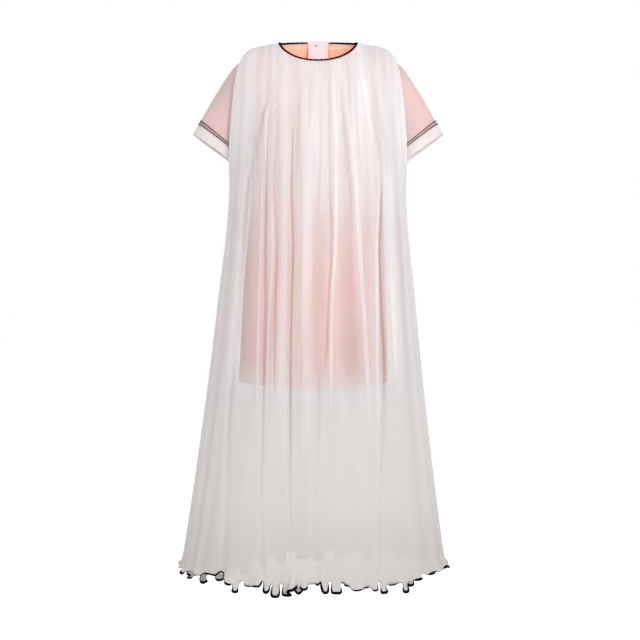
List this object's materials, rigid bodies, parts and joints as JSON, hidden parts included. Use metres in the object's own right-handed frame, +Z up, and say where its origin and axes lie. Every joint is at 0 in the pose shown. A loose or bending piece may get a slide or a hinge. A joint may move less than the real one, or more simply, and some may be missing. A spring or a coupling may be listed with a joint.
{
  "type": "tulle dress",
  "caption": "Floor-length gathered tulle overlay over a knee-length jersey slip with short lined sleeves, stitched cuffs and a rippled rolled hem, hollow and filled out as if worn.",
  "frame": {"origin": "midway between the two points where the shoulder seams meet the neck edge, where the wearer's shoulders hold the dress up", "axes": "+Z up along the wearer, +X towards the viewer's right when the front is seen, -Y out of the front"},
  "size_m": [0.7136, 0.505, 1.4152],
  "materials": {
    "tulle": "fine off-white net, matte and sheer",
    "slip_jersey": "peach jersey, matte with a soft sheen",
    "sleeve_mesh": "fine pale mesh, matte and sheer",
    "edging_thread": "dense overlock thread, near-black navy",
    "tab_tape": "smooth pale woven tape, blank",
    "snap": "small dark tack"
  },
  "bodies": {
    "root": {"overlay_front": "tulle", "overlay_back": "tulle", "slip_front": "slip_jersey", "slip_back": "slip_jersey", "sleeve_lining_right": "slip_jersey", "sleeve_lining_left": "slip_jersey", "sleeve_mesh_right": "sleeve_mesh", "sleeve_mesh_left": "sleeve_mesh", "cuff_right": "sleeve_mesh", "cuff_left": "sleeve_mesh", "neck_edging": "edging_thread", "neck_tab": "tab_tape", "neck_snap": "snap"}
  },
  "joints": []
}
